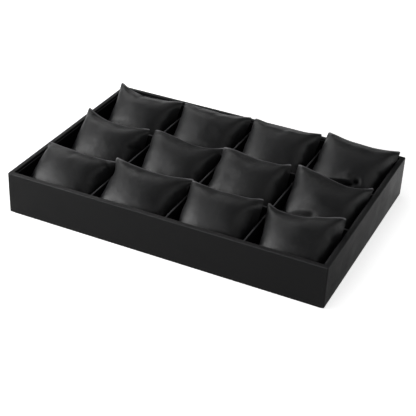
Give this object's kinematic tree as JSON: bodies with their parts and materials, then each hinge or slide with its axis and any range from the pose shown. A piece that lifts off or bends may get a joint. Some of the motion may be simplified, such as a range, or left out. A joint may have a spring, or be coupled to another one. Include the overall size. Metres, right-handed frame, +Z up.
{
  "type": "watch display tray",
  "caption": "Shallow open tray wrapped in black leatherette, with a slotted divider grid and a tilted soft pillow in each compartment to show a watch or bracelet.",
  "frame": {"origin": "centre of the underside, on the surface the tray rests on", "axes": "+X along the long side to the right, +Y from the front wall to the back wall (the pillows' raised edges are towards +Y), +Z up"},
  "size_m": [0.35, 0.24, 0.057],
  "materials": {
    "leatherette": "smooth black leatherette, fine grain, satin",
    "lining_card": "card wrapped in the same leatherette, matte",
    "grid_card": "card wrapped in leatherette, satin on its folded top edge",
    "board": "dark hardboard, hidden",
    "underlay": "thin black felt",
    "pad_cloth": "black suede cloth on a thin backing",
    "pillow_cover": "soft thin leatherette, satin sheen, creased at the corners"
  },
  "bodies": {
    "root": {"base_lining": "underlay", "base_board": "board", "front_wall": "leatherette", "right_wall": "leatherette", "back_wall": "leatherette", "left_wall": "leatherette", "front_liner": "lining_card", "back_liner": "lining_card", "left_liner": "lining_card", "right_liner": "lining_card", "floor_pad": "pad_cloth", "column_divider_1": "grid_card", "column_divider_2": "grid_card", "column_divider_3": "grid_card", "row_divider_1": "grid_card", "row_divider_2": "grid_card", "pillow_1_1": "pillow_cover", "pillow_1_2": "pillow_cover", "pillow_1_3": "pillow_cover", "pillow_1_4": "pillow_cover", "pillow_2_1": "pillow_cover", "pillow_2_2": "pillow_cover", "pillow_2_3": "pillow_cover", "pillow_2_4": "pillow_cover", "pillow_3_1": "pillow_cover", "pillow_3_2": "pillow_cover", "pillow_3_3": "pillow_cover", "pillow_3_4": "pillow_cover"}
  },
  "joints": []
}
